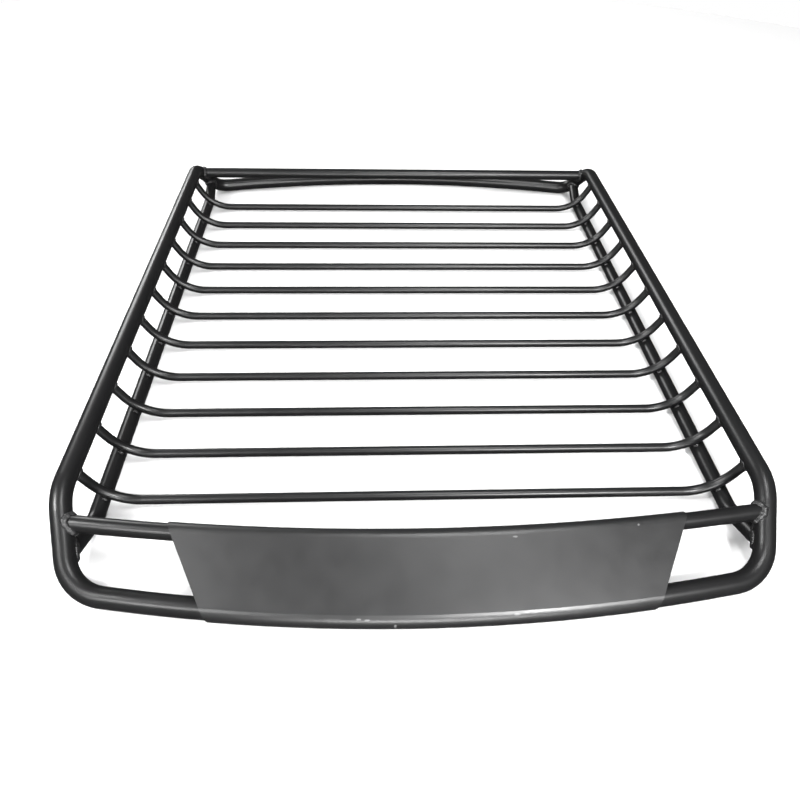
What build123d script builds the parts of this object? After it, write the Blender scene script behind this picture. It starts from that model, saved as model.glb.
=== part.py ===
from build123d import *
from math import atan, cos, degrees, radians, sin, sqrt, tan
import os

# Roof cargo basket: one welded tubular frame, eleven bent floor rods and a sheet wind fairing.
# Millimetres, +Z up, -Y towards the fairing. The origin is the middle of the whole basket in plan,
# on the level that the lower rails rest on.

# ---- tube and sheet stock
main_od = 31.75
main_wall = 1.6
cross_od = 25.4
cross_wall = 1.5
rod_od = 15.875
rod_wall = 1.2
sheet_t = 2.0
main_r = main_od / 2
cross_r = cross_od / 2
rod_r = rod_od / 2

# ---- envelope
overall_height = 101.6
top_z = overall_height - main_r
low_z = main_r
rail_z = cross_r
top_rail_x = 537.0
low_rail_x = 507.5

# The fairing end is the longer one, so the middle of the rod floor stands this far behind the origin.
deck_y = 23.57

# ---- front end of the perimeter tube (vertices of its centre line, before bending radii)
front_knee_y = deck_y - 556.0
front_foot = (507.0, deck_y - 680.0)
front_knee_r = 99.0
front_foot_r = 69.0
front_sweep = 9.7

# ---- rear end of the perimeter tube
rear_knee_y = deck_y + 580.0
rear_foot = (499.0, deck_y + 626.0)
rear_knee_r = 54.0
rear_foot_r = 50.0
rear_sweep = 12.1

# ---- straight run left between a foot bend and the long bow of the lower cross tube
bow_margin = 12.0

# ---- upper cross tubes: how far down the leg they meet it, and how far the front one bows
front_cross_at = 0.295
front_cross_bow = 40.5
rear_cross_at = 0.22

# ---- lower rails: where the floor run ends, and how far down each leg the rail meets it
low_rail_front_y = deck_y - 546.0
low_rail_front_at = 0.667
low_rail_rear_y = deck_y + 540.0
low_rail_rear_at = 0.70
low_rail_bend_r = 60.0

# ---- floor rods
rod_count = 11
rod_pitch = 101.6
rod_flat_half = 444.5
rod_bend_r = 82.0
rod_bend_deg = 62.0

# ---- where the two halves of the perimeter butt together, and the sleeves inside the joints
splice_y = deck_y + 14.0
sleeve_length = 120.0
sleeve_wall = 1.6
sleeve_gap = 0.05

# ---- wind fairing: it sits a little to the right of the middle
fairing_shift = 12.0
fairing_top_half = 382.0
fairing_foot_half = 319.0
fairing_edge_break = 27.0
fairing_gap = 0.2
fairing_back_wrap = 95.0
fairing_foot_wrap = 58.0
fairing_corner_r = 12.0
fairing_stations = 7

os.makedirs("parts", exist_ok=True)


def leg_point(side, knee_y, foot, fraction):
    """Point on a leg's centre line, from its knee (0) to its foot (1)."""
    x = top_rail_x + (foot[0] - top_rail_x) * fraction
    y = knee_y + (foot[1] - knee_y) * fraction
    return (side * x, y, top_z + (low_z - top_z) * fraction)


def bow_radius(foot, foot_r, knee_y, sweep, outward):
    """Radius of the long bow that spans the straight runs beside the two foot bends."""
    leg = Vector(foot[0] - top_rail_x, foot[1] - knee_y, low_z - top_z)
    cross = Vector(-cos(radians(sweep)), outward * sin(radians(sweep)), 0)
    foot_tangent = foot_r * tan(radians(leg.get_angle(cross) / 2))
    half_run = foot[0] / cos(radians(sweep))
    return (half_run - foot_tangent - bow_margin) / tan(radians(sweep))


def hoop_points(knee_y, foot, sweep, outward):
    """Vertices of half the perimeter: rail splice, knee, foot, apex of the bow, and back."""
    apex_y = foot[1] + outward * foot[0] * tan(radians(sweep))
    right = [(top_rail_x, splice_y, top_z), (top_rail_x, knee_y, top_z), (foot[0], foot[1], low_z)]
    left = [(-x, y, z) for x, y, z in reversed(right)]
    return right + [(0, apex_y, low_z)] + left


def hoop_radii(knee_y, knee_r, foot, foot_r, sweep, outward):
    """Bending radii at the knees, the feet and the bow."""
    bow = bow_radius(foot, foot_r, knee_y, sweep, outward)
    return [knee_r, foot_r, bow, foot_r, knee_r]


def start_plane(path):
    """Plane square to a path at its start."""
    return Plane(origin=path.position_at(0), z_dir=path.tangent_at(0))


# ================================================================ perimeter tube, front half
with BuildLine() as front_path:
    FilletPolyline(
        *hoop_points(front_knee_y, front_foot, front_sweep, -1),
        radius=hoop_radii(front_knee_y, front_knee_r, front_foot, front_foot_r, front_sweep, -1),
    )

with BuildPart() as front_solid:
    with BuildSketch(start_plane(front_path.wire())):
        Circle(main_r)
    sweep(path=front_path.wire())

with BuildPart() as front_frame_tube:
    with BuildSketch(start_plane(front_path.wire())):
        Circle(main_r)
        Circle(main_r - main_wall, mode=Mode.SUBTRACT)
    sweep(path=front_path.wire())

front_frame_tube.part.label = "front_frame_tube"
export_step(front_frame_tube.part, "parts/front_frame_tube.step")

# ================================================================ perimeter tube, rear half
with BuildLine() as rear_path:
    FilletPolyline(
        *hoop_points(rear_knee_y, rear_foot, rear_sweep, 1),
        radius=hoop_radii(rear_knee_y, rear_knee_r, rear_foot, rear_foot_r, rear_sweep, 1),
    )

with BuildPart() as rear_solid:
    with BuildSketch(start_plane(rear_path.wire())):
        Circle(main_r)
    sweep(path=rear_path.wire())

with BuildPart() as rear_frame_tube:
    with BuildSketch(start_plane(rear_path.wire())):
        Circle(main_r)
        Circle(main_r - main_wall, mode=Mode.SUBTRACT)
    sweep(path=rear_path.wire())

rear_frame_tube.part.label = "rear_frame_tube"
export_step(rear_frame_tube.part, "parts/rear_frame_tube.step")

# ================================================================ splice sleeves
sleeve_r = main_r - main_wall - sleeve_gap
for name, side in (("left_splice_sleeve", -1), ("right_splice_sleeve", 1)):
    sleeve_plane = Plane(origin=(side * top_rail_x, splice_y, top_z), z_dir=(0, 1, 0))
    with BuildPart() as splice_sleeve:
        with BuildSketch(sleeve_plane):
            Circle(sleeve_r)
            Circle(sleeve_r - sleeve_wall, mode=Mode.SUBTRACT)
        extrude(amount=sleeve_length / 2, both=True)
    splice_sleeve.part.label = name
    export_step(splice_sleeve.part, f"parts/{name}.step")

# ================================================================ upper cross tubes
front_cross_end = leg_point(1, front_knee_y, front_foot, front_cross_at)
cross_x, front_cross_y, front_cross_z = front_cross_end
with BuildLine() as front_cross_path:
    ThreePointArc(
        (-cross_x, front_cross_y, front_cross_z),
        (0, front_cross_y - front_cross_bow, front_cross_z),
        (cross_x, front_cross_y, front_cross_z),
    )

with BuildPart() as front_upper_cross_tube:
    with BuildSketch(start_plane(front_cross_path.wire())):
        Circle(cross_r)
        Circle(cross_r - cross_wall, mode=Mode.SUBTRACT)
    sweep(path=front_cross_path.wire())
    add(front_solid.part, mode=Mode.SUBTRACT)

front_upper_cross_tube.part.label = "front_upper_cross_tube"
export_step(front_upper_cross_tube.part, "parts/front_upper_cross_tube.step")

rear_cross_end = leg_point(1, rear_knee_y, rear_foot, rear_cross_at)
with BuildPart() as rear_upper_cross_tube:
    with BuildSketch(Plane(origin=(0, rear_cross_end[1], rear_cross_end[2]), z_dir=(1, 0, 0))):
        Circle(cross_r)
        Circle(cross_r - cross_wall, mode=Mode.SUBTRACT)
    extrude(amount=rear_cross_end[0], both=True)
    add(rear_solid.part, mode=Mode.SUBTRACT)

rear_upper_cross_tube.part.label = "rear_upper_cross_tube"
export_step(rear_upper_cross_tube.part, "parts/rear_upper_cross_tube.step")

# ================================================================ lower rails
for name, side in (("left_lower_rail", -1), ("right_lower_rail", 1)):
    with BuildLine() as low_path:
        FilletPolyline(
            leg_point(side, front_knee_y, front_foot, low_rail_front_at),
            (side * low_rail_x, low_rail_front_y, rail_z),
            (side * low_rail_x, low_rail_rear_y, rail_z),
            leg_point(side, rear_knee_y, rear_foot, low_rail_rear_at),
            radius=low_rail_bend_r,
        )
    with BuildPart() as lower_rail:
        with BuildSketch(start_plane(low_path.wire())):
            Circle(cross_r)
            Circle(cross_r - cross_wall, mode=Mode.SUBTRACT)
        sweep(path=low_path.wire())
        add(front_solid.part, mode=Mode.SUBTRACT)
        add(rear_solid.part, mode=Mode.SUBTRACT)
    lower_rail.part.label = name
    export_step(lower_rail.part, f"parts/{name}.step")

# ================================================================ floor rods
# Each rod's end bends rest on the lower rails, which sets the height of the floor.
bend_to_rail_x = low_rail_x - rod_flat_half
rest_reach = rod_bend_r + rod_r + cross_r
rod_z = rail_z + sqrt(rest_reach ** 2 - bend_to_rail_x ** 2) - rod_bend_r
rod_rise = radians(rod_bend_deg)
bend_end_x = rod_flat_half + rod_bend_r * sin(rod_rise)
bend_end_z = rod_z + rod_bend_r * (1 - cos(rod_rise))
# the straight tip runs on until it is level with the top rail's centre, and that rail copes it
to_rail_x = top_rail_x - bend_end_x
to_rail_z = top_z - bend_end_z
tip_run = to_rail_x * cos(rod_rise) + to_rail_z * sin(rod_rise)
rod_tip_x = bend_end_x + tip_run * cos(rod_rise)
rod_tip_z = bend_end_z + tip_run * sin(rod_rise)
rod_vertex_x = rod_flat_half + rod_bend_r * tan(rod_rise / 2)

rail_cutter_planes = [Plane(origin=(side * top_rail_x, 0, top_z), z_dir=(0, 1, 0)) for side in (-1, 1)]
rod_y = [deck_y + rod_pitch * ((rod_count - 1) / 2 - number) for number in range(rod_count)]

for number, y in enumerate(rod_y, start=1):
    with BuildLine() as rod_path:
        FilletPolyline(
            (-rod_tip_x, y, rod_tip_z),
            (-rod_vertex_x, y, rod_z),
            (rod_vertex_x, y, rod_z),
            (rod_tip_x, y, rod_tip_z),
            radius=rod_bend_r,
        )
    with BuildPart() as floor_rod:
        with BuildSketch(start_plane(rod_path.wire())):
            Circle(rod_r)
            Circle(rod_r - rod_wall, mode=Mode.SUBTRACT)
        sweep(path=rod_path.wire())
        for rail_plane in rail_cutter_planes:
            with BuildSketch(rail_plane.offset(y)):
                Circle(main_r)
            extrude(amount=rod_od, both=True, mode=Mode.SUBTRACT)
    name = f"floor_rod_{number:02d}"
    floor_rod.part.label = name
    export_step(floor_rod.part, f"parts/{name}.step")

# ================================================================ wind fairing
# A belt of sheet over the upper cross tube and under the lower one. Its section is drawn square
# to X at a few stations, because the two tubes bow by different amounts, and lofted through them.
upper_inner = cross_r + fairing_gap
upper_outer = upper_inner + sheet_t
lower_inner = main_r + fairing_gap
lower_outer = lower_inner + sheet_t

front_bow_r = bow_radius(front_foot, front_foot_r, front_knee_y, front_sweep, -1)
front_apex_y = front_foot[1] - front_foot[0] * tan(radians(front_sweep))
lower_bow_centre_y = front_apex_y + front_bow_r / cos(radians(front_sweep))
cross_bow_r = (cross_x ** 2 + front_cross_bow ** 2) / (2 * front_cross_bow)
cross_bow_centre_y = front_cross_y - front_cross_bow + cross_bow_r


def at_angle(centre, radius, angle):
    """Point of a (Y, Z) circle, with angle in degrees from -Y and rising towards +Z."""
    return (centre[0] - radius * cos(radians(angle)), centre[1] + radius * sin(radians(angle)))


def fairing_outline(x):
    """The belt section at one station: centres, tangent angle and its eight edges."""
    upper = (cross_bow_centre_y - sqrt(cross_bow_r ** 2 - x ** 2), front_cross_z)
    lower = (lower_bow_centre_y - sqrt(front_bow_r ** 2 - x ** 2), low_z)
    run = Vector(upper[0] - lower[0], front_cross_z - low_z)
    slope = degrees(atan(run.Y / run.X))
    taper = degrees(atan((lower_outer - upper_outer) / run.length))
    face = 90 - slope - taper
    back = 90 + fairing_back_wrap
    foot = -fairing_foot_wrap
    upper_mid = (face + back) / 2
    lower_mid = (face + foot) / 2
    outer = [
        at_angle(upper, upper_outer, back),
        at_angle(upper, upper_outer, upper_mid),
        at_angle(upper, upper_outer, face),
        at_angle(lower, lower_outer, face),
        at_angle(lower, lower_outer, lower_mid),
        at_angle(lower, lower_outer, foot),
    ]
    inner = [
        at_angle(upper, upper_inner, back),
        at_angle(upper, upper_inner, upper_mid),
        at_angle(upper, upper_inner, face),
        at_angle(lower, lower_inner, face),
        at_angle(lower, lower_inner, lower_mid),
        at_angle(lower, lower_inner, foot),
    ]
    return outer, inner


fairing_loft_half = fairing_shift + fairing_top_half + 6
station_x = [fairing_loft_half * (2 * k / (fairing_stations - 1) - 1) for k in range(fairing_stations)]
middle_outer, middle_inner = fairing_outline(0)
face_top = Vector(0, *middle_outer[2])
face_down = Vector(0, *middle_outer[3]) - face_top
face_plane = Plane(origin=face_top, x_dir=(1, 0, 0), z_dir=Vector(1, 0, 0).cross(face_down))
wrap_back_y = -3 * upper_outer
trim_margin = 1.5
trim_depth = 200.0


def foot_reach(x):
    """Just past the rolled foot at a station, measured down the face plane."""
    lower_centre = Vector(0, lower_bow_centre_y - sqrt(front_bow_r ** 2 - x ** 2), low_z)
    return (lower_centre - face_top).dot(face_down.normalized()) + lower_outer + trim_margin


left_foot_x = fairing_shift - fairing_foot_half
right_foot_x = fairing_shift + fairing_foot_half
left_foot = (left_foot_x, foot_reach(left_foot_x))
right_foot = (right_foot_x, foot_reach(right_foot_x))

with BuildPart() as wind_fairing:
    for x in station_x:
        outer, inner = fairing_outline(x)
        # the section plane's own X runs along +Y and its own Y along +Z
        with BuildSketch(Plane(origin=(x, 0, 0), x_dir=(0, 1, 0), z_dir=(1, 0, 0))):
            with BuildLine():
                ThreePointArc(outer[0], outer[1], outer[2])
                Line(outer[2], outer[3])
                ThreePointArc(outer[3], outer[4], outer[5])
                Line(outer[5], inner[5])
                ThreePointArc(inner[5], inner[4], inner[3])
                Line(inner[3], inner[2])
                ThreePointArc(inner[2], inner[1], inner[0])
                Line(inner[0], outer[0])
            make_face()
    loft()
    # side edges: square to the tube over the back of the upper wrap, then drawn in towards the foot
    with BuildSketch(face_plane) as trim:
        with BuildLine():
            Polyline(
                left_foot,
                (fairing_shift - fairing_top_half, -fairing_edge_break),
                (fairing_shift - fairing_top_half, wrap_back_y),
                (fairing_shift + fairing_top_half, wrap_back_y),
                (fairing_shift + fairing_top_half, -fairing_edge_break),
                right_foot,
            )
            ThreePointArc(right_foot, (0, foot_reach(0)), left_foot)
        make_face()
        fillet(trim.vertices().sort_by(Axis.Y)[-2:], radius=fairing_corner_r)
    extrude(amount=trim_depth, both=True, mode=Mode.INTERSECT)

wind_fairing.part.label = "wind_fairing"
export_step(wind_fairing.part, "parts/wind_fairing.step")
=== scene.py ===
import math

import bmesh
import bpy
from mathutils import Matrix, Vector
from mathutils.bvhtree import BVHTree


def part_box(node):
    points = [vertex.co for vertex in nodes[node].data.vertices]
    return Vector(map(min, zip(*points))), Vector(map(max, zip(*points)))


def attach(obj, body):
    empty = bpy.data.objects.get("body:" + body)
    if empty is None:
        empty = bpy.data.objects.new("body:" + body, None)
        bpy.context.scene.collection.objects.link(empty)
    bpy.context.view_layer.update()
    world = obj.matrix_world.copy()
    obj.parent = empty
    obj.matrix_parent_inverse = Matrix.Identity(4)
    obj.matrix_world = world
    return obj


# Roof cargo basket in satin black powder coat: weld beads, coatings, floor, light and camera
# around the CAD frame. Metres, +Z up, -Y towards the wind fairing.

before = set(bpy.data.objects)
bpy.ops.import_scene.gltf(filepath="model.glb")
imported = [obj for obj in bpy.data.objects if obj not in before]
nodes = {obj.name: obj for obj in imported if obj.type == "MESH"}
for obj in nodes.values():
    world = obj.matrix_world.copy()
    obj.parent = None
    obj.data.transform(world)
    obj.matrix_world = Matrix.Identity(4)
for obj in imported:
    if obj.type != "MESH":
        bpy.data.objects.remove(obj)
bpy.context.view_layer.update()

# ---- tube sizes
MAIN_R = 0.015875
CROSS_R = 0.0127
ROD_R = 0.0079375

# ---- floor rods: bend, and where the lower rails run under them
ROD_BEND_R = 0.082
ROD_FLAT_HALF = 0.4445
ROD_BEND = math.radians(62)
LOWER_RAIL_X = 0.5075

# ---- joints of the cross tubes and lower rails with the frame tubes, on the right side:
# ---- two points on the joining tube's axis, and the bead's half width
FRAME_JOINTS = {
    "front_cross": ((0.4800, -0.5764, 0.0651), (0.5282, -0.5690, 0.0651), 0.0054),
    "rear_cross": ((0.4800, 0.6137, 0.0704), (0.5286, 0.6137, 0.0704), 0.0042),
    "front_rail_end": ((0.5075, -0.5224, 0.0127), (0.5170, -0.6151, 0.0391), 0.0050),
    "rear_rail_end": ((0.5075, 0.5636, 0.0127), (0.5104, 0.6358, 0.0368), 0.0042),
}
FRAME_JOINT_STEPS = 190

# ---- small beads at the rod tips, along the rod seats and around the butt joints
ROD_TIP_BEAD = 0.0029
ROD_TIP_STEPS = 110
ROD_SEAT_BEAD = 0.0029
ROD_SEAT_STEPS = 34
ROD_SEAT_SPREAD = math.radians(24)
ROD_SEAT_AT = 0.86 * ROD_R
SPLICE_BEAD = 0.0024
SPLICE_STEPS = 120
SPLICE_Y = 0.03757

# ---- bead section: how far it stands proud, its thickness against its width, and its ripples
BEAD_LIFT = 0.05
BEAD_THICKNESS = 0.74
BEAD_SIDES = 10
BEAD_END_TAPER = 0.03
RIPPLE_PITCH = 0.0022
RIPPLE_HEIGHT = 0.06

# ---- worn flecks on the fairing: a point near each one, and its half size
SCUFFS = (
    ((0.131, -0.6175, 0.0765), (0.0034, 0.0013, 0.0030)),
    ((0.1245, -0.714, 0.029), (0.0044, 0.0013, 0.0018)),
    ((-0.0835, -0.717, 0.0275), (0.0040, 0.0012, 0.0016)),
    ((-0.0955, -0.716, 0.0285), (0.0030, 0.0012, 0.0015)),
    ((-0.045, -0.722, 0.0185), (0.0016, 0.0040, 0.0032)),
    ((0.3165, -0.6015, 0.0785), (0.0016, 0.0016, 0.0014)),
)
SCUFF_TONE = (0.105, 0.105, 0.105)
SCUFF_CORE = 1.25
SCUFF_EDGE = 1.75

# ---- floor, and the white sweep around it
FLOOR_HALF = 14.0
FLOOR_Z = -0.0005
FLOOR_TONE = (0.85, 0.85, 0.85)
SWEEP_START = 3.3
SWEEP_R = 1.5
SWEEP_TOP = 7.0
SWEEP_STEPS = 12
SWEEP_SIDES = 96

# ---- light: where each lamp stands, what it points at, its size and its power
WORLD_STRENGTH = 0.08
LAMPS = {
    "back_left": ((-3.2, 4.8, 2.5), (0, 0, 0), (2.4, 1.7), 150),
    "front_right": ((1.0, -2.5, 1.9), (0, 0, 0), (0.35, 0.35), 110),
    "front_left": ((-1.3, -2.0, 1.35), (0, -0.6, 0), (0.6, 0.5), 23),
    "overhead": ((0.4, -0.5, 2.4), (0.1, -0.6, 0), (1.0, 0.4), 29),
    "low_front": ((0.2, -3.0, 0.4), (0, 0, 0.1), (1.3, 0.25), 50),
    "left_side": ((-2.0, -0.8, 1.9), (0, -0.6, 0), (0.6, 0.5), 59),
    "ceiling": ((1.2, 2.6, 5.0), (1.2, 2.6, 0), (9.0, 6.0), 300),
}
NOT_IN_REFLECTIONS = "ceiling"

# ---- camera
CAMERA_AT = Vector((-0.0792, -1.1960, 0.8717))
CAMERA_PITCH = 0.7529
CAMERA_YAW = 0.0667
CAMERA_ROLL = 0.0363
CAMERA_LENS = 30.38
CAMERA_SENSOR = 36
CAMERA_SHIFT = (-0.0018, 0.0131)


def add_object(name, data):
    made = bpy.data.objects.new(name, data)
    bpy.context.scene.collection.objects.link(made)
    return made


def surface_tree(names):
    """One search tree over the surfaces of some CAD nodes."""
    joined = bmesh.new()
    for name in names:
        joined.from_mesh(nodes[name].data)
    tree = BVHTree.FromBMesh(joined)
    joined.free()
    return tree


FRAME_TREE = surface_tree(["front_frame_tube", "rear_frame_tube"])
FAIRING_TREE = surface_tree(["wind_fairing"])


# ================================================================ materials
def new_material(name):
    material = bpy.data.materials.new(name)
    material.use_nodes = True
    material.node_tree.nodes.clear()
    return material, material.node_tree.nodes, material.node_tree.links


def add_noise(make, scale, detail):
    noise = make.new("ShaderNodeTexNoise")
    noise.inputs["Scale"].default_value = scale
    noise.inputs["Detail"].default_value = detail
    return noise


def powder_coat(name, dark, light, specular, roughness, grain_size, grain_depth, metallic=0.0):
    """Baked-on powder: fine orange peel, slow drifts of gloss and a trace of dust in the colour."""
    material, make, link = new_material(name)
    output = make.new("ShaderNodeOutputMaterial")
    shader = make.new("ShaderNodeBsdfPrincipled")
    place = make.new("ShaderNodeTexCoord")
    shader.inputs["Specular IOR Level"].default_value = specular
    shader.inputs["Metallic"].default_value = metallic

    drift = add_noise(make, 9.0, 4.0)
    tone = make.new("ShaderNodeMix")
    tone.data_type = "RGBA"
    tone.inputs["A"].default_value = (*dark, 1)
    tone.inputs["B"].default_value = (*light, 1)

    gloss = add_noise(make, 32.0, 5.0)
    gloss_range = make.new("ShaderNodeMapRange")
    gloss_range.inputs["From Min"].default_value = 0.3
    gloss_range.inputs["From Max"].default_value = 0.7
    gloss_range.inputs["To Min"].default_value = roughness - 0.02
    gloss_range.inputs["To Max"].default_value = roughness + 0.025

    grain = add_noise(make, 1 / grain_size, 2.5)
    bump = make.new("ShaderNodeBump")
    bump.inputs["Strength"].default_value = 0.6
    bump.inputs["Distance"].default_value = grain_depth

    for texture in (drift, gloss, grain):
        link.new(place.outputs["Object"], texture.inputs["Vector"])
    link.new(drift.outputs["Fac"], tone.inputs["Factor"])
    link.new(tone.outputs["Result"], shader.inputs["Base Color"])
    link.new(gloss.outputs["Fac"], gloss_range.inputs["Value"])
    link.new(gloss_range.outputs["Result"], shader.inputs["Roughness"])
    link.new(grain.outputs["Fac"], bump.inputs["Height"])
    link.new(bump.outputs["Normal"], shader.inputs["Normal"])
    link.new(shader.outputs["BSDF"], output.inputs["Surface"])
    return material


def scuffed(material, marks, worn):
    """Add small worn flecks with ragged edges. Each mark is a point near it and a half size."""
    make, link = material.node_tree.nodes, material.node_tree.links
    shader = next(node for node in make if node.type == "BSDF_PRINCIPLED")
    place = next(node for node in make if node.type == "TEX_COORD")
    tone = next(node for node in make if node.type == "MIX")

    rag = add_noise(make, 420.0, 3.0)
    link.new(place.outputs["Object"], rag.inputs["Vector"])

    covered = None
    for near, half_size in marks:
        offset = make.new("ShaderNodeVectorMath")
        offset.operation = "SUBTRACT"
        offset.inputs[1].default_value = FAIRING_TREE.find_nearest(Vector(near))[0]
        scaled = make.new("ShaderNodeVectorMath")
        scaled.operation = "DIVIDE"
        scaled.inputs[1].default_value = half_size
        length = make.new("ShaderNodeVectorMath")
        length.operation = "LENGTH"
        ragged = make.new("ShaderNodeMath")
        ragged.operation = "ADD"
        inside = make.new("ShaderNodeMapRange")
        inside.inputs["From Min"].default_value = SCUFF_EDGE
        inside.inputs["From Max"].default_value = SCUFF_CORE
        link.new(place.outputs["Object"], offset.inputs[0])
        link.new(offset.outputs["Vector"], scaled.inputs[0])
        link.new(scaled.outputs["Vector"], length.inputs[0])
        link.new(length.outputs["Value"], ragged.inputs[0])
        link.new(rag.outputs["Fac"], ragged.inputs[1])
        link.new(ragged.outputs["Value"], inside.inputs["Value"])
        if covered:
            either = make.new("ShaderNodeMath")
            either.operation = "MAXIMUM"
            link.new(covered, either.inputs[0])
            link.new(inside.outputs["Result"], either.inputs[1])
            covered = either.outputs["Value"]
        else:
            covered = inside.outputs["Result"]

    scuff = make.new("ShaderNodeMix")
    scuff.data_type = "RGBA"
    scuff.inputs["B"].default_value = (*worn, 1)
    link.new(covered, scuff.inputs["Factor"])
    link.new(tone.outputs["Result"], scuff.inputs["A"])
    link.new(scuff.outputs["Result"], shader.inputs["Base Color"])


def plain_floor():
    material, make, link = new_material("pale_floor")
    output = make.new("ShaderNodeOutputMaterial")
    shader = make.new("ShaderNodeBsdfPrincipled")
    shader.inputs["Base Color"].default_value = (*FLOOR_TONE, 1)
    shader.inputs["Roughness"].default_value = 0.9
    shader.inputs["Specular IOR Level"].default_value = 0.0
    link.new(shader.outputs["BSDF"], output.inputs["Surface"])
    return material


def lit_sweep():
    material, make, link = new_material("lit_sweep")
    output = make.new("ShaderNodeOutputMaterial")
    light = make.new("ShaderNodeEmission")
    light.inputs["Color"].default_value = (1, 1, 1, 1)
    light.inputs["Strength"].default_value = 1.0
    link.new(light.outputs["Emission"], output.inputs["Surface"])
    return material


TUBE_COAT = powder_coat(
    "tube_powder_coat",
    dark=(0.0043, 0.0043, 0.0045),
    light=(0.0080, 0.0080, 0.0083),
    specular=0.46,
    roughness=0.34,
    grain_size=0.0011,
    grain_depth=0.00003,
)
SHEET_COAT = powder_coat(
    "sheet_powder_coat",
    dark=(0.0068, 0.0068, 0.0070),
    light=(0.0092, 0.0092, 0.0095),
    specular=0.69,
    roughness=0.38,
    grain_size=0.0011,
    grain_depth=0.00004,
)
WELD_COAT = powder_coat(
    "weld_powder_coat",
    dark=(0.0077, 0.0077, 0.0080),
    light=(0.017, 0.017, 0.0173),
    specular=0.6,
    roughness=0.38,
    grain_size=0.0011,
    grain_depth=0.00004,
)
scuffed(SHEET_COAT, SCUFFS, SCUFF_TONE)
STEEL = powder_coat(
    "bare_steel_tube",
    dark=(0.30, 0.30, 0.31),
    light=(0.38, 0.38, 0.39),
    specular=0.5,
    roughness=0.4,
    grain_size=0.002,
    grain_depth=0.0001,
    metallic=1.0,
)

for name, node in nodes.items():
    if name.endswith("splice_sleeve"):
        node.material_slots[0].material = STEEL
    elif name == "wind_fairing":
        node.material_slots[0].material = SHEET_COAT
    else:
        node.material_slots[0].material = TUBE_COAT


# ================================================================ weld beads
def across(axis):
    """Two unit vectors square to an axis and to each other."""
    first = axis.orthogonal().normalized()
    return first, axis.cross(first).normalized()


def joint_line(start, end, radius, steps):
    """Where a round tube meets the frame tubes: points, each with the way out of the corner."""
    axis = (end - start).normalized()
    u, v = across(axis)
    line = []
    for k in range(steps):
        turn = math.tau * k / steps
        out = u * math.cos(turn) + v * math.sin(turn)
        hit, normal, _, _ = FRAME_TREE.ray_cast(start + out * radius, axis)
        if normal.dot(axis) > 0:
            normal = -normal
        line.append((hit, (out + normal).normalized()))
    return line


def ripple(run, seed):
    """How much fatter or thinner the bead is at a point along it: weld ripples on uneven lumps."""
    lumps = 0.13 * math.sin(run * 310 + seed) + 0.09 * math.sin(run * 787 + 2.3 * seed)
    return 1 + RIPPLE_HEIGHT * math.cos(math.tau * run / RIPPLE_PITCH) + lumps


def add_bead(mesh, line, size, closed, seed):
    """Rings of a rippled bead along a line of (point, way out). An open bead tapers at its ends."""
    count = len(line)
    rings = []
    run = 0.0
    for k, (point, out) in enumerate(line):
        before = line[k - 1][0] if closed or k else point
        after = line[(k + 1) % count][0] if closed or k < count - 1 else point
        along = (after - before).normalized()
        side = along.cross(out).normalized()
        run += (point - line[k - 1][0]).length if k else 0.0
        radius = size * ripple(run, seed)
        if not closed:
            radius *= math.sqrt(max(BEAD_END_TAPER, math.sin(math.pi * (k + 0.5) / count)))
        centre = point + out * size * BEAD_LIFT
        ring = []
        for j in range(BEAD_SIDES):
            a = math.tau * j / BEAD_SIDES
            section = out * math.cos(a) * BEAD_THICKNESS + side * math.sin(a)
            ring.append(mesh.verts.new(centre + section * radius))
        rings.append(ring)
    spans = zip(rings, rings[1:] + rings[:1]) if closed else zip(rings, rings[1:])
    for first, second in spans:
        for j in range(BEAD_SIDES):
            j_next = (j + 1) % BEAD_SIDES
            mesh.faces.new((first[j], first[j_next], second[j_next], second[j]))
    if not closed:
        mesh.faces.new(rings[0][::-1])
        mesh.faces.new(rings[-1])


def finish_beads(name, mesh):
    bmesh.ops.recalc_face_normals(mesh, faces=mesh.faces[:])
    data = bpy.data.meshes.new(name)
    mesh.to_mesh(data)
    mesh.free()
    for face in data.polygons:
        face.use_smooth = True
    data.materials.append(WELD_COAT)
    beads = add_object(name, data)
    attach(beads, "root")


def mirrored(point, side):
    return Vector((side * point[0], point[1], point[2]))


SIDES = (("left", -1), ("right", 1))
for side_name, side in SIDES:
    for number, (joint, (start, end, size)) in enumerate(FRAME_JOINTS.items()):
        beads = bmesh.new()
        line = joint_line(mirrored(start, side), mirrored(end, side), CROSS_R, FRAME_JOINT_STEPS)
        add_bead(beads, line, size, True, seed=number + side)
        finish_beads(f"weld_{side_name}_{joint}", beads)

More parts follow.
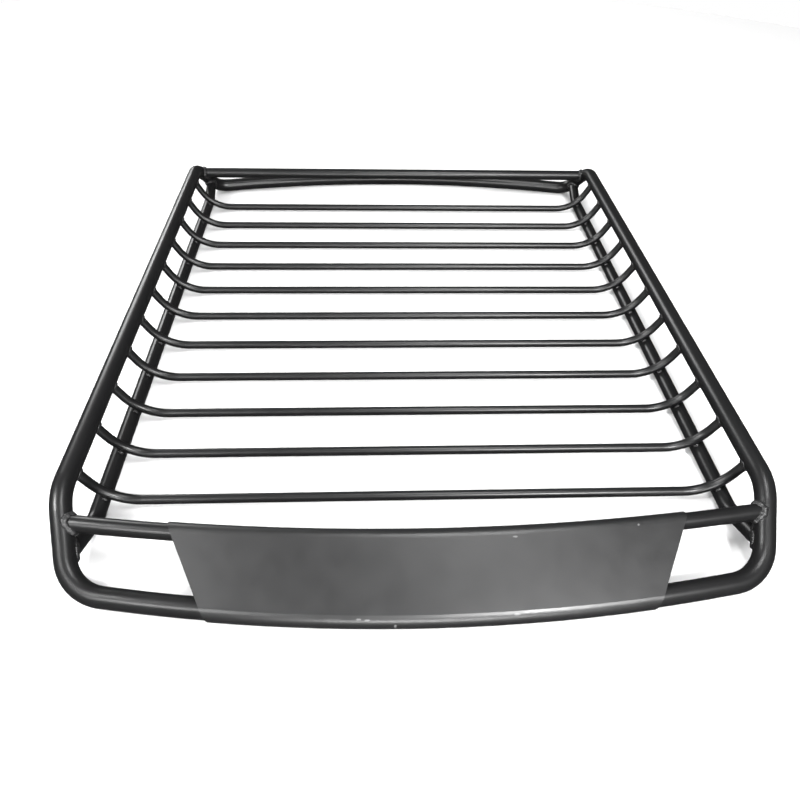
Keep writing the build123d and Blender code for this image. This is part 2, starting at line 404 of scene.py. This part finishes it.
rod_names = sorted(name for name in nodes if name.startswith("floor_rod"))
for side_name, side in SIDES:
    tips = bmesh.new()
    seats = bmesh.new()
    rise = Vector((side * math.cos(ROD_BEND), 0, math.sin(ROD_BEND)))
    for number, name in enumerate(rod_names):
        low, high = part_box(name)
        y = (low.y + high.y) / 2
        bend_centre = Vector((side * ROD_FLAT_HALF, y, low.z + ROD_R + ROD_BEND_R))

        # the rod's tip meets the top rail at the end of its bend
        spoke = Vector((side * math.sin(ROD_BEND), 0, -math.cos(ROD_BEND)))
        bend_end = bend_centre + spoke * ROD_BEND_R
        line = joint_line(bend_end, bend_end + rise, ROD_R, ROD_TIP_STEPS)
        add_bead(tips, line, ROD_TIP_BEAD, True, seed=number * 1.7 + side)

        # its bend rests on the lower rail, with a short fillet on either face of the rod
        rail = Vector((side * LOWER_RAIL_X, y, CROSS_R))
        up = (bend_centre - rail).normalized()
        for face in (-1, 1):
            seat = []
            for k in range(ROD_SEAT_STEPS):
                turn = ROD_SEAT_SPREAD * (2 * k / (ROD_SEAT_STEPS - 1) - 1)
                out = Matrix.Rotation(turn, 3, "Y") @ up
                point = rail + out * CROSS_R + Vector((0, face * ROD_SEAT_AT, 0))
                seat.append((point, (out + Vector((0, face, 0))).normalized()))
            add_bead(seats, seat, ROD_SEAT_BEAD, False, seed=number * 2.9 + face)
    finish_beads(f"weld_{side_name}_rod_tips", tips)
    finish_beads(f"weld_{side_name}_rod_seats", seats)

# the butt joint in the middle of each top rail, dressed nearly flush
for side_name, side in SIDES:
    ring = bmesh.new()
    low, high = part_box("front_frame_tube")
    centre = Vector((side * (high.x - MAIN_R), SPLICE_Y, high.z - MAIN_R))
    line = []
    for k in range(SPLICE_STEPS):
        turn = math.tau * k / SPLICE_STEPS
        out = Vector((math.sin(turn), 0, math.cos(turn)))
        line.append((centre + out * (MAIN_R - SPLICE_BEAD), out))
    add_bead(ring, line, SPLICE_BEAD, True, seed=5.0 + side)
    finish_beads(f"weld_{side_name}_splice", ring)


# ================================================================ floor, light and camera
floor_mesh = bpy.data.meshes.new("floor")
floor_corners = [
    (x * FLOOR_HALF, y * FLOOR_HALF, FLOOR_Z) for x, y in ((-1, -1), (1, -1), (1, 1), (-1, 1))
]
floor_mesh.from_pydata(floor_corners, [], [(0, 1, 2, 3)])
floor_mesh.materials.append(plain_floor())
floor = add_object("floor", floor_mesh)
floor.visible_glossy = False

# the floor runs out into a white sweep all round, which only the camera sees
sweep_profile = [(SWEEP_START, 0.0)]
for k in range(1, SWEEP_STEPS + 1):
    turn = math.pi / 2 * k / SWEEP_STEPS
    sweep_profile.append((SWEEP_START + SWEEP_R * math.sin(turn), SWEEP_R * (1 - math.cos(turn))))
sweep_profile.append((SWEEP_START + SWEEP_R, SWEEP_TOP))
sweep = bmesh.new()
sweep_rings = []
for radius, z in sweep_profile:
    turns = (math.tau * j / SWEEP_SIDES for j in range(SWEEP_SIDES))
    sweep_rings.append(
        [sweep.verts.new((radius * math.cos(turn), radius * math.sin(turn), z)) for turn in turns]
    )
for inner, outer in zip(sweep_rings, sweep_rings[1:]):
    for j in range(SWEEP_SIDES):
        j_next = (j + 1) % SWEEP_SIDES
        sweep.faces.new((inner[j], outer[j], outer[j_next], inner[j_next]))
sweep_mesh = bpy.data.meshes.new("white_sweep")
sweep.to_mesh(sweep_mesh)
sweep.free()
sweep_mesh.materials.append(lit_sweep())
backdrop = add_object("white_sweep", sweep_mesh)
backdrop.visible_glossy = False
backdrop.visible_diffuse = False
backdrop.visible_shadow = False

world = bpy.data.worlds.new("studio")
world.use_nodes = True
world.node_tree.nodes["Background"].inputs["Color"].default_value = (1, 1, 1, 1)
world.node_tree.nodes["Background"].inputs["Strength"].default_value = WORLD_STRENGTH
bpy.context.scene.world = world
bpy.context.scene.view_settings.view_transform = "Standard"

for name, (at, aim, size, power) in LAMPS.items():
    data = bpy.data.lights.new(name, "AREA")
    data.shape = "RECTANGLE"
    data.size, data.size_y = size
    data.energy = power
    lamp = add_object(name, data)
    lamp.location = at
    lamp.visible_camera = False
    lamp.visible_glossy = name != NOT_IN_REFLECTIONS
    lamp.rotation_mode = "QUATERNION"
    lamp.rotation_quaternion = (Vector(aim) - Vector(at)).to_track_quat("-Z", "Y")

camera = add_object("camera", bpy.data.cameras.new("camera"))
camera.data.sensor_width = CAMERA_SENSOR
camera.data.lens = CAMERA_LENS
camera.data.shift_x, camera.data.shift_y = CAMERA_SHIFT
camera.matrix_world = (
    Matrix.Translation(CAMERA_AT)
    @ Matrix.Rotation(-CAMERA_YAW, 4, "Z")
    @ Matrix.Rotation(math.pi / 2 - CAMERA_PITCH, 4, "X")
    @ Matrix.Rotation(CAMERA_ROLL, 4, "Z")
)
bpy.context.scene.camera = camera
